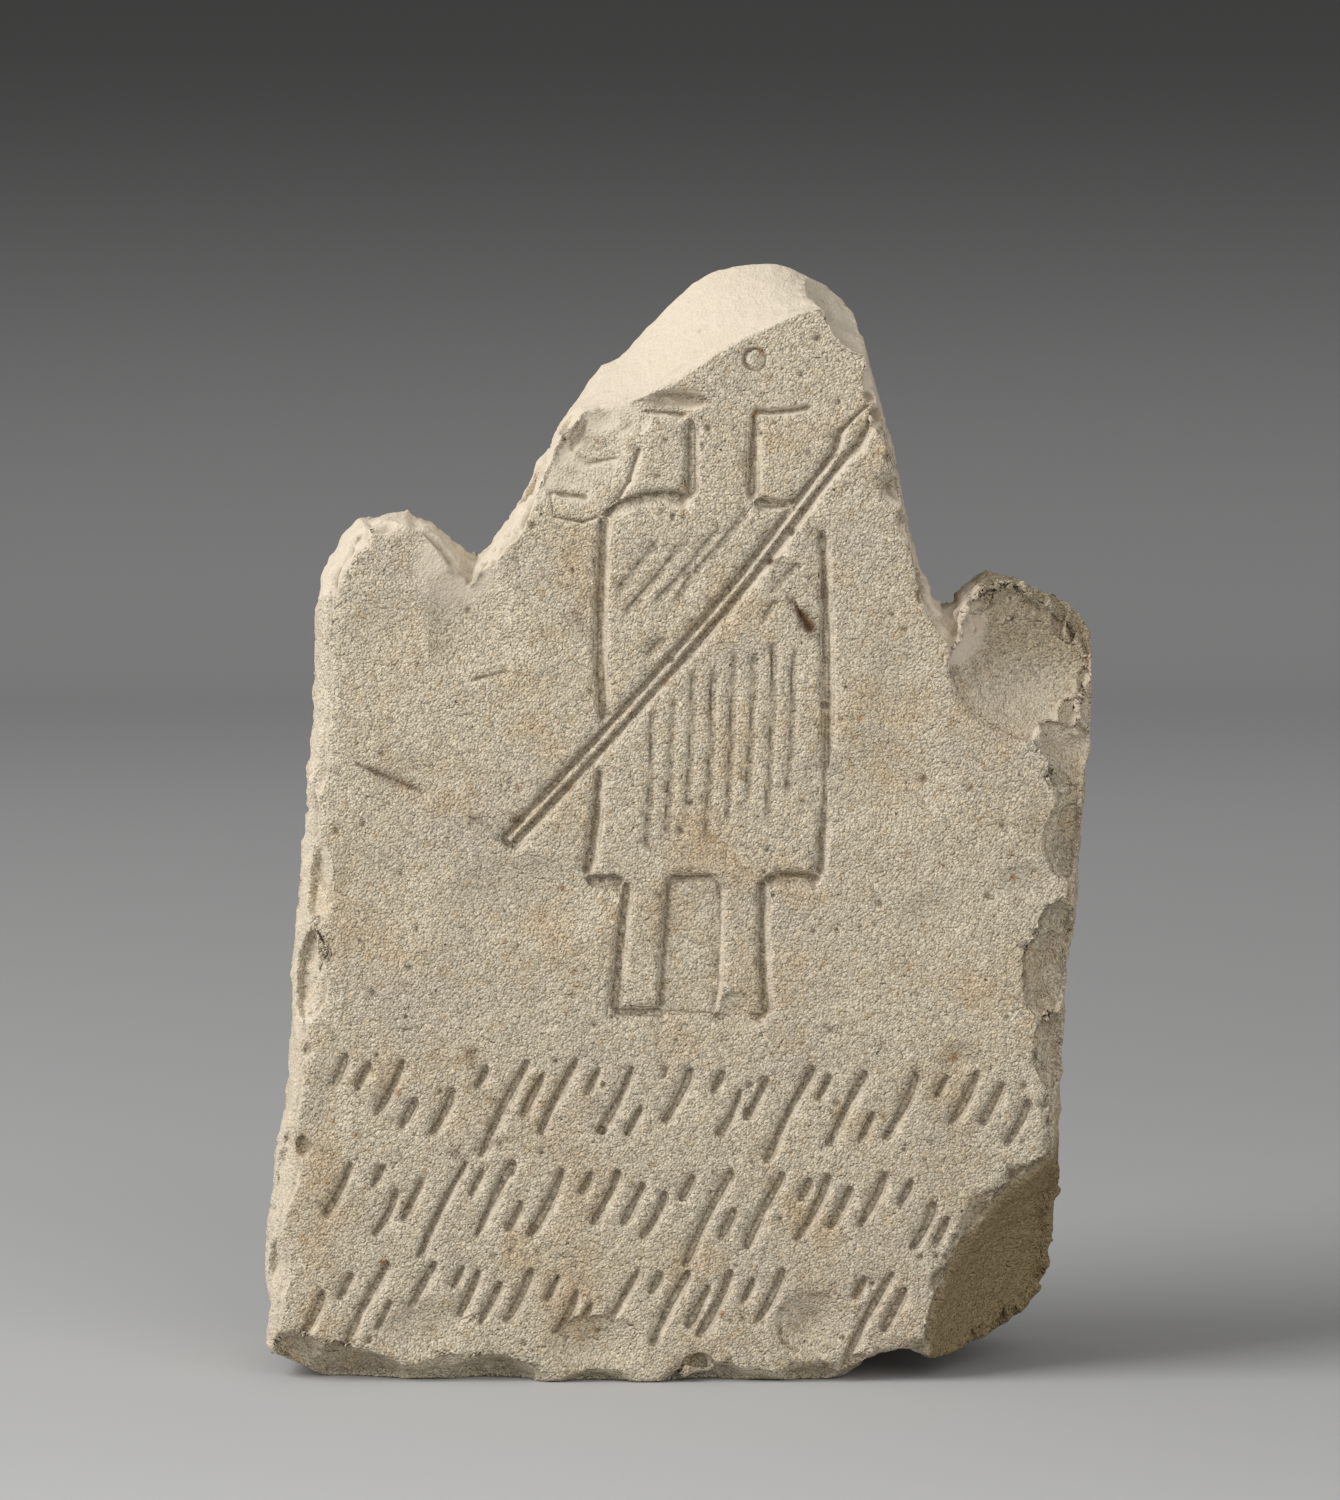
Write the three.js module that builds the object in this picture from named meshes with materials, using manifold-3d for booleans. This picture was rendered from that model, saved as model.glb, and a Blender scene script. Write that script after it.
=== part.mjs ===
// A votive stele of limestone: an upright slab whose gable stands between two side horns.
// The head of the gable, the right horn, the lower right corner and the foot are broken.
// The face carries an incised robed figure that holds a long staff, and three rows of strokes.
// Millimetres, +Z up; the carved face looks along -Y, and the slab stands on its foot at z = 0.
import * as THREE from "three";
import { mergeVertices } from "three/addons/utils/BufferGeometryUtils.js";
import Module from "manifold-3d";

const thickness = 68;
const face = -thickness / 2;
const back = thickness / 2;
const backWear = 2.5; // how far the back's arris is worn in
const wear = 0.07; // how far the front arris swells out between its two edges, as a share
const stationGap = 5; // spacing of the sections round the edge

const outlineCut = { depth: 1.6, steep: 0.9, gentle: 2.1 };
const hemCut = { depth: 1.9, steep: 0.9, gentle: 3.2 };
const staffCut = { depth: 1.4, steep: 0.8, gentle: 1.3 };
const foldCut = { depth: 0.6, steep: 0.8, gentle: 1.2 };
const rowCut = { depth: 1.35, steep: 0.9, gentle: 1.7 };
const panelDepth = 1.1; // how far the ground between the legs is let in

const wasm = await Module();
wasm.setup();

// ---- the slab -------------------------------------------------------------------------------

// The edge of the slab, clockwise as the face is seen. "front" is the line where the face ends
// and "rim" the outermost line behind it; "deep" is how far the rim lies behind the face at the
// start of each stretch. Every stretch runs on to the first points of the next one.
const edge = [
  {
    name: "leftSide",
    deep: 9,
    front: [[-97, 9.5], [-95.5, 20], [-96, 30], [-94, 47], [-93, 58], [-90, 74], [-89, 92], [-88, 106],
      [-84.5, 122], [-86, 134], [-86, 149], [-82.5, 164], [-83.5, 178], [-82.5, 189]],
    rim: [[-100, 7], [-98.5, 17], [-100, 28], [-98, 46], [-96.5, 58], [-93.5, 72], [-92.5, 90],
      [-93, 97], [-91.5, 116], [-89.5, 134], [-87.5, 161], [-87, 180], [-86.2, 189]],
  },
  {
    name: "leftHorn",
    deep: 12,
    front: [[-81.5, 195], [-78.5, 199.5], [-75, 205], [-69.5, 208.5], [-64, 207.5]],
    rim: [[-84.5, 196.5], [-81, 202], [-76.5, 208.2], [-73, 209.6], [-69, 211.8], [-64, 209.6]],
  },
  {
    name: "leftHollowOuter",
    deep: 12,
    front: [[-58, 202], [-55.5, 198], [-53.5, 193]],
    rim: [[-58.5, 205.5], [-53.5, 202]],
  },
  {
    name: "leftHollowInner",
    deep: 13,
    front: [[-50.8, 190], [-48, 195.3], [-43, 199], [-38.8, 202.5], [-36.5, 208], [-33.5, 215]],
    rim: [[-47.8, 199], [-43, 203], [-38.5, 210.5], [-35.5, 216.5]],
  },
  {
    name: "gableLeft",
    deep: 16,
    front: [[-30.5, 221], [-28, 226], [-25.5, 231.5]],
    rim: [[-33, 222.5], [-28.5, 228.5], [-26.5, 234]],
  },
  {
    name: "crown",
    deep: 24,
    front: [[-22.5, 233.5], [-14, 234.8], [-4, 239], [10, 248], [24, 255.5], [34, 259]],
    rim: [[-24.5, 237.5], [-22, 241.5], [-19.5, 245.5], [-15.5, 246.5], [-9, 253.5], [0.5, 262.8], [7, 267.8],
      [17, 270.3], [26.5, 269.8], [34, 266], [39, 264]],
  },
  {
    name: "gableRight",
    deep: 20,
    front: [[41.5, 257], [44, 250.5], [48, 235], [54, 211], [57.3, 196]],
    rim: [[43.5, 258], [45, 250], [49.3, 234], [55, 211], [58, 198]],
  },
  {
    name: "rightHollow",
    deep: 8,
    front: [[58.7, 189], [61.5, 183], [65.2, 175.8], [67, 182.5]],
    rim: [[59.5, 191], [62.5, 187.4], [66.3, 187.4], [70, 190.6]],
  },
  {
    name: "rightHorn",
    deep: 22,
    front: [[73, 192.5], [79, 193.5], [87, 190], [94, 184], [97.5, 177]],
    rim: [[76.5, 195.6], [80, 195.2], [87, 191.6], [93, 188.2], [98, 182.5], [99.9, 175]],
  },
  {
    name: "rightSide",
    deep: 12,
    front: [[98, 170], [96, 152], [95, 134], [93.5, 114], [92, 103], [91.5, 90], [90.5, 74], [89, 50]],
    rim: [[100, 169], [98.5, 155], [97, 134], [96, 114], [95, 105], [93.5, 100], [93, 86], [92, 64],
      [90.5, 40]],
  },
  {
    name: "cornerRight",
    deep: 26,
    front: [[87, 24], [85, 21], [76.5, 14.5], [66, 10], [57, 8.5]],
    rim: [[89, 23], [82.5, 14.5], [72, 9.5], [61, 6.5]],
  },
  {
    name: "footRight",
    deep: 10,
    front: [[49, 8], [43, 4.5], [34, 2.5], [27, 1.8], [18, 3.5], [10, 2.5], [4, 1]],
    rim: [[49.5, 6], [43, 2], [36, -2], [10, -3]],
  },
  {
    name: "footLeft",
    deep: 10,
    front: [[-4, 0.6], [-18, 0.8], [-36, 1.4], [-44, 3.4], [-54, 7.4], [-61, 4.6], [-68, 4], [-74, 5.2],
      [-80, 5.6], [-86.5, 3], [-92, 4.8]],
    rim: [[-4, -3], [-40, -3], [-72, -2.5], [-82, -1], [-91, 2]],
  },
];

const plane = ([x, z]) => new THREE.Vector2(x, z);

// Points along one stretch, evenly spaced on a smooth line through the given ones.
function stretch(points, next, steps) {
  const line = new THREE.SplineCurve([...points, next].map(plane));
  return line.getSpacedPoints(steps).slice(0, -1);
}

// A ring with each point drawn halfway to the middle of its neighbours.
function evened(ring) {
  return ring.map((p, i) => {
    const middle = ring.at(i - 1).clone().add(ring[(i + 1) % ring.length]).divideScalar(2);
    return middle.lerp(p, 0.5);
  });
}

// A closed mesh from rings of points that have the same number of points each.
function loft(rings, endFaces) {
  const count = rings[0].length;
  const index = [];
  for (let r = 0; r + 1 < rings.length; r++) {
    for (let i = 0; i < count; i++) {
      const [a, b] = [r * count + i, r * count + ((i + 1) % count)];
      index.push(a, b, b + count, a, b + count, a + count);
    }
  }
  const last = (rings.length - 1) * count;
  for (const [a, b, c] of endFaces) index.push(a, c, b, last + a, last + b, last + c);
  const made = new THREE.BufferGeometry().setFromPoints(rings.flat());
  made.setIndex(index);
  return made;
}

function slabBlank() {
  const fronts = [];
  const rims = [];
  const depths = [];
  edge.forEach((part, i) => {
    const after = edge[(i + 1) % edge.length];
    const lineLength = new THREE.SplineCurve([...part.rim, after.rim[0]].map(plane)).getLength();
    const steps = Math.max(3, Math.round(lineLength / stationGap));
    fronts.push(...stretch(part.front, after.front[0], steps));
    rims.push(...stretch(part.rim, after.rim[0], steps));
    for (let s = 0; s < steps; s++) depths.push(part.deep + ((after.deep - part.deep) * s) / steps);
  });
  const inward = rims.map((p, i) => {
    const along = rims[(i + 1) % rims.length].clone().sub(rims.at(i - 1));
    return new THREE.Vector2(along.y, -along.x).normalize();
  });
  const between = (share) => evened(fronts.map((p, i) => {
    const swell = wear * Math.min(depths[i], 14) * Math.sin(Math.PI * share);
    const at = p.clone().lerp(rims[i], share).addScaledVector(inward[i], -swell);
    return new THREE.Vector3(at.x, face + depths[i] * share, at.y);
  }));
  const rings = [
    fronts.map((p) => new THREE.Vector3(p.x, face, p.y)),
    between(0.33),
    between(0.67),
    rims.map((p, i) => new THREE.Vector3(p.x, face + depths[i], p.y)),
    rims.map((p, i) => new THREE.Vector3(p.x + inward[i].x * backWear, back, p.y + inward[i].y * backWear)),
  ];
  const faces = THREE.ShapeUtils.triangulateShape(fronts, []);
  return solid(loft(rings, faces.map(([a, b, c]) => [a, c, b])));
}

// ---- solids and cutters ---------------------------------------------------------------------

function solid(geometry) {
  const bare = geometry.clone();
  bare.deleteAttribute("normal");
  bare.deleteAttribute("uv");
  const merged = mergeVertices(bare, 1e-4);
  const vertProperties = merged.attributes.position.array;
  const triVerts = new Uint32Array(merged.index.array);
  const made = new wasm.Manifold(new wasm.Mesh({ numProp: 3, vertProperties, triVerts }));
  if (made.volume() > 0) return made;
  for (let i = 0; i < triVerts.length; i += 3) triVerts.subarray(i, i + 3).reverse();
  return new wasm.Manifold(new wasm.Mesh({ numProp: 3, vertProperties, triVerts }));
}

function geometryOf(made) {
  const mesh = made.getMesh();
  const geometry = new THREE.BufferGeometry();
  geometry.setAttribute("position", new THREE.BufferAttribute(mesh.vertProperties, 3));
  geometry.setIndex(new THREE.BufferAttribute(mesh.triVerts, 1));
  geometry.computeVertexNormals();
  return geometry;
}

// A chip struck out of the stone: where the middle of its uneven, flat-sided lump sits, and radii.
function chip({ at, radii, turn = 0, grain = 2, uneven = 0.07 }) {
  const lump = new THREE.IcosahedronGeometry(1, grain);
  const corners = lump.attributes.position;
  for (let i = 0; i < corners.count; i++) {
    const v = new THREE.Vector3().fromBufferAttribute(corners, i);
    const swell = Math.sin(3.1 * v.x + at[0]) + Math.sin(3.7 * v.z + at[2]) + Math.sin(4.3 * v.y + at[0]);
    v.multiplyScalar(1 + uneven * swell);
    corners.setXYZ(i, v.x, v.y, v.z);
  }
  return solid(lump.scale(...radii).rotateY(turn).translate(...at));
}

// All that lies outside a flat break through three points, which turn anticlockwise seen from there.
function beyond(a, b, c) {
  const [p, q, r] = [a, b, c].map((v) => new THREE.Vector3(...v));
  const normal = q.clone().sub(p).cross(r.clone().sub(p)).normalize();
  const size = 400;
  const block = new THREE.BoxGeometry(size, size, size).translate(0, 0, size / 2);
  block.applyQuaternion(new THREE.Quaternion().setFromUnitVectors(new THREE.Vector3(0, 0, 1), normal));
  return solid(block.translate(p.x, p.y, p.z));
}

// A cut of V section along a line on the face. The steep wall lies to the right of the line's
// direction as the face is seen. "ends" is how far each end takes to run out.
function chiselCut(points, { depth, steep, gentle }, ends = [0, 0]) {
  const line = points.length > 2 ? new THREE.SplineCurve(points.map(plane))
    : new THREE.LineCurve(...points.map(plane));
  const reach = line.getLength();
  const steps = points.length > 2 ? Math.max(3, Math.round(reach / 6)) : 1;
  const stops = Array.from({ length: steps + 1 }, (_, i) => i / steps);
  if (ends[0]) stops.splice(1, 0, Math.min(ends[0] / reach, 0.45));
  if (ends[1]) stops.splice(-1, 0, Math.max(1 - ends[1] / reach, 0.55));
  const over = 0.3; // the walls go on past the face by this share
  const rings = stops.sort((a, b) => a - b).map((t) => {
    const middle = line.getPointAt(t);
    const along = line.getTangentAt(t);
    const size = (t === 0 && ends[0]) || (t === 1 && ends[1]) ? 0.25 : 1;
    const at = (sideways, inwards) => new THREE.Vector3(
      middle.x + along.y * sideways * size,
      face + inwards * size,
      middle.y - along.x * sideways * size,
    );
    return [
      at(steep * (1 + over), -depth * over),
      at(0, depth),
      at(-gentle * (1 + over), -depth * over),
      at(0, -depth * (1 + over)),
    ];
  });
  return solid(loft(rings, [[0, 1, 2], [0, 2, 3]]));
}

// ---- the breaks -----------------------------------------------------------------------------

const breaks = {
  rightHorn: { at: [96, face - 2, 179], radii: [30.8, 11, 24], grain: 4 },
  underHorn: { at: [101, face + 1, 153], radii: [15, 9, 10], turn: 0.35 },
  rightArrisHigh: { at: [99, face, 127], radii: [8, 9, 7], grain: 1 },
  rightArrisMiddle: { at: [96, face - 1, 98], radii: [13, 8, 9], grain: 1 },
  rightArrisLow: { at: [94, face, 81], radii: [6, 8, 5], grain: 1 },
  gableScar: { at: [-30, face - 1.4, 222], radii: [22, 3.2, 14.5], turn: -0.2, grain: 3 },
  crownChip: { at: [42.5, face + 1, 259], radii: [8, 6, 5.5], turn: 0.5, grain: 1 },
  leftArrisFlake: { at: [-94, face + 1, 101], radii: [8, 5, 9] },
  leftArrisWorn: { at: [-91, face - 1, 123], radii: [10, 6, 14] },
  lowerRightCorner: { at: [115, face - 6, 0], radii: [57, 38, 63], grain: 9, uneven: 0.01 },
  footPit: { at: [5, face, 4], radii: [4, 4, 3.2], grain: 1 },
  backTop: { at: [14, back + 4, 272], radii: [34, 16, 15] },
  backLeftHorn: { at: [-90, back + 3, 212], radii: [22, 14, 18] },
  backLeftLow: { at: [-103, back + 3, 62], radii: [15, 13, 38] },
  backRight: { at: [103, back + 3, 112], radii: [16, 14, 30] },
  backRightHorn: { at: [104, back + 2, 186], radii: [20, 18, 17] },
  backFoot: { at: [-50, back + 3, -2], radii: [36, 13, 13] },
};

// ---- the figure -----------------------------------------------------------------------------

const neck = { left: 3, right: 18 };
const levels = { chin: 235, shoulder: 214, hem: 122.5, sole: 90 };

const figureLines = [
  { cut: outlineCut, path: [[3, levels.chin - 1], [-9, levels.chin]] },
  { cut: outlineCut, path: [[32.5, 236], [24, 234.6], [17.5, levels.chin]] },
  { cut: outlineCut, path: [[neck.left, 233.5], [neck.left, 214]] },
  { cut: outlineCut, path: [[neck.right, 234.8], [neck.right - 0.6, 213.5]] },
  { cut: hemCut, path: [[3, levels.shoulder], [-3.5, 215], [-9, 214.4], [-14, 212.6], [-18, 209.5]] },
  { cut: outlineCut, path: [[29, 213.4], [24, 212.4], [18.5, 213]] },
  { cut: outlineCut, path: [[-18, 210], [-18.8, 190], [-19, 175], [-18, 160]] },
  { cut: outlineCut, path: [[-19, 149], [-19.8, 139], [-21, 129.5], [-22.5, 123]] },
  { cut: outlineCut, path: [[34.4, 206], [35, 190], [35.6, 165], [35.4, 148], [34.4, 132], [34, 123]] },
  { cut: hemCut, path: [[-12.5, levels.hem - 0.5], [-22.5, levels.hem]] },
  { cut: outlineCut, path: [[9.3, levels.hem], [-2.2, levels.hem]] },
  { cut: hemCut, path: [[34.6, levels.hem], [27, 123.2], [20.2, levels.hem - 0.2]] },
  { cut: outlineCut, path: [[-12.4, 121.8], [-14, 107.5], [-15.5, 90.3]] },
  { cut: outlineCut, path: [[-2, 122.4], [-2.5, 112], [-3.4, 102], [-4, 90.6]] },
  { cut: outlineCut, path: [[9.4, 122], [9, 105], [8.3, 89.6]] },
  { cut: outlineCut, path: [[20.2, 122.2], [20, 105.5], [21, 89]] },
  { cut: outlineCut, path: [[21, levels.sole - 0.8], [8.2, levels.sole - 0.5]] },
  { cut: outlineCut, path: [[-2.6, levels.sole + 0.2], [-15.5, levels.sole + 0.4]] },
];

// The ground between the legs is let in, from under the hem down to the soles.
function legPanel() {
  const shape = new THREE.Shape([[-2.4, 122], [9.4, 122], [8.4, 89.5], [-4, 90.4]].map(plane));
  const block = new THREE.ExtrudeGeometry(shape, { depth: 6, bevelEnabled: false });
  return solid(block.rotateX(Math.PI / 2).translate(0, face + panelDepth, 0));
}

// The staff: two lines side by side with a ridge between them, from the butt up to a leaf tip.
const staffLine = new THREE.SplineCurve(
  [[-41.2, 131], [-18.9, 154.8], [4.8, 181.4], [16.2, 194.8], [28.2, 210.6], [38.5, 224]].map(plane),
);
const staffHalf = 1.4;

function staffCuts() {
  const side = (away) => staffLine.getSpacedPoints(12).map((p, i) => {
    const along = staffLine.getTangentAt(i / 12);
    return [p.x - along.y * away, p.y + along.x * away];
  });
  const [left, right] = [side(staffHalf), side(-staffHalf)];
  return [
    chiselCut([...right].reverse(), staffCut),
    chiselCut([...left].reverse(), staffCut),
    chiselCut([left[0], right[0]], staffCut),
    chiselCut([[46.3, 237], [41.5, 232.6], [38.2, 229], left[12]], staffCut, [3, 0]),
    chiselCut([[46, 235.4], [45.2, 230.6], [43, 226.6], right[12]], staffCut, [3, 0]),
    chiselCut([[-50.5, 134.4], [-48, 136.4], [-43.4, 133.2]], foldCut, [2, 2]),
  ];
}

// The robe: slanting folds across the chest, long upright ones under the staff.
function foldCuts() {
  const chest = [
    [[16.9, 211.7], [12, 204.5], [4.2, 196], [-1.6, 187.7]],
    [[10.5, 207.5], [2, 196.5], [-6.5, 187.5]],
    [[2.5, 204.5], [-6, 193.5], [-14, 184.5]],
    [[-4.5, 204], [-10, 196.5], [-15.5, 190.5]],
    [[-2, 181.5], [-9, 174]],
    [[30, 199], [21, 190]],
    [[24.5, 190], [19, 182.5]],
  ].map((path) => chiselCut(path, foldCut, [2, 3]));
  const [first, last, count] = [-6.5, 27.5, 8];
  const skirt = Array.from({ length: count }, (_, i) => {
    const x = first + ((last - first) / (count - 1)) * i;
    const across = x - first;
    const top = 164 + 1.05 * across - 0.0165 * across ** 2 - 2 * (i % 2);
    const foot = 127 + 3.5 * (i % 3) + 0.009 * across ** 2;
    return chiselCut([[x + 0.6, top], [x + 0.2, (top + foot) / 2], [x - 1.2, foot]], foldCut, [2, 4]);
  });
  return [...chest, ...skirt];
}

// A small ring, drilled, over the right side of the neck.
function ringCut() {
  const radius = 2;
  const high = 0.8 * (neck.right - neck.left);
  const ring = new THREE.TorusGeometry(radius, 0.55, 4, 18).rotateX(Math.PI / 2);
  return solid(ring.translate(neck.right, face, levels.chin + high));
}

// ---- the rows of strokes --------------------------------------------------------------------

// Slanting strokes that stand apart and spell nothing: one long stroke at each place in the row,
// with shorter ones off it. "across" and "up" say where a stroke's middle is from its place.
const longStrokes = [
  { rise: 17, up: 0.5, bow: 0.9 },
  { rise: 24, up: -3, bow: -0.8 },
  { rise: 14, up: 2, bow: 0.7 },
  { rise: 19, up: 0, bow: -0.6 },
  { rise: 12, up: -3, bow: 1 },
];
const shortStrokes = [
  { across: 6.4, up: 3.6, rise: 7 },
  { across: 6.8, up: -4.4, rise: 8 },
  { across: 7.2, up: 5.4, rise: 6 },
  { across: 6.6, up: 0.4, rise: 11 },
];
const strokeLean = 0.5; // across for each up
const rows = [
  { from: [-84, 70.5], to: [82, 66.5], places: 13, first: 0 },
  { from: [-83, 45.5], to: [59, 41.5], places: 12, first: 2 },
  { from: [-88, 20.5], to: [46, 18], places: 12, first: 4 },
];

function slantedStroke(x, z, rise, bow = 0) {
  const across = (strokeLean * rise) / 2;
  const path = [[x + across, z + rise / 2], [x + bow, z], [x - across, z - rise / 2]];
  return chiselCut(bow ? path : [path[0], path[2]], rowCut, [2, 2]);
}

function rowCuts({ from, to, places, first }) {
  return Array.from({ length: places }, (_, i) => {
    const x = from[0] + ((to[0] - from[0]) * i) / (places - 1) + 0.8 * Math.sin(2.4 * i + first);
    const z = from[1] + ((to[1] - from[1]) * i) / (places - 1) + 0.8 * Math.cos(1.7 * i + first);
    const long = longStrokes[(2 * i + first) % longStrokes.length];
    const short = shortStrokes[(i + first) % shortStrokes.length];
    return [
      slantedStroke(x, z + long.up, long.rise, long.bow),
      slantedStroke(x + short.across + strokeLean * short.up, z + short.up, short.rise),
    ];
  }).flat();
}

// ---- the stele ------------------------------------------------------------------------------

const cuts = [
  ...Object.values(breaks).map(chip),
  legPanel(),
  ...figureLines.map(({ path, cut }) => chiselCut(path, cut, [1.3, 1.3])),
  ...staffCuts(),
  ...foldCuts(),
  ringCut(),
  ...rows.flatMap(rowCuts),
];
const ground = beyond([0, 0, 0], [0, 10, 0], [10, 0, 0]);
const carved = cuts.reduce((stone, cut) => stone.subtract(cut), slabBlank().subtract(ground));

const limestone = new THREE.MeshStandardMaterial({ color: 0xc4b89f, roughness: 0.92, metalness: 0 });
const stele = new THREE.Mesh(geometryOf(carved), limestone);
stele.name = "stele";

const group = new THREE.Group();
group.add(stele);
export default group;
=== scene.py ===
import math

import bmesh
import bpy
import numpy as np
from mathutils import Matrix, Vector


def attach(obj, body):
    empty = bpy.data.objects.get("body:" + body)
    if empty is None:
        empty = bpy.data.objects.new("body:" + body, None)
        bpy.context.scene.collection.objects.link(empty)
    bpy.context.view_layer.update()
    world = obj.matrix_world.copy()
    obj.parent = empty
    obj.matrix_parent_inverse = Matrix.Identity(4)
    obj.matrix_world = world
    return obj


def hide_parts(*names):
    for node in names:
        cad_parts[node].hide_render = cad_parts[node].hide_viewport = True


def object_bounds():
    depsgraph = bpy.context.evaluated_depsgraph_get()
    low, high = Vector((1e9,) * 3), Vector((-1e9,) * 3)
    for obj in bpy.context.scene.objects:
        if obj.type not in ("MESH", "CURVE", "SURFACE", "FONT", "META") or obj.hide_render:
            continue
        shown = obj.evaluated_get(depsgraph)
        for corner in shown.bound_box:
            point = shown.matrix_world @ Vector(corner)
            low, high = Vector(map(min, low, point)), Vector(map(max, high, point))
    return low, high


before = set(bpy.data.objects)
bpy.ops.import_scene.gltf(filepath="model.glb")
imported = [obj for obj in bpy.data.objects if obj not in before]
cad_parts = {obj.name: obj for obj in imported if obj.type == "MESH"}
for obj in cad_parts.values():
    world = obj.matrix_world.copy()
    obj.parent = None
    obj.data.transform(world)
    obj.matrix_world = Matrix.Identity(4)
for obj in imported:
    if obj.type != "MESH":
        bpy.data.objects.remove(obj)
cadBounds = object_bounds()
lowCorner, highCorner = [np.array(corner) * 1000 for corner in cadBounds]  # in millimetres
print("frame loaded")

cameraSettings = {
    "lens": 150.0,
    "distance": 1.5,  # from the carved face
    "elevation": 4.0,
    "aimAcross": -0.0018,
    "aimUp": 0.1534,
}


def makeCamera():
    data = bpy.data.cameras.new("camera")
    data.lens = cameraSettings["lens"]
    data.sensor_width = 36.0
    camera = bpy.data.objects.new("camera", data)
    tilt = math.radians(cameraSettings["elevation"])
    aim = Vector((cameraSettings["aimAcross"], cadBounds[0][1], cameraSettings["aimUp"]))
    away = Vector((0.0, -math.cos(tilt), math.sin(tilt))) * cameraSettings["distance"]
    camera.location = aim + away
    camera.rotation_euler = (-away).to_track_quat("-Z", "Y").to_euler()
    bpy.context.scene.collection.objects.link(camera)
    bpy.context.scene.camera = camera


makeCamera()
print("camera set")

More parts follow.
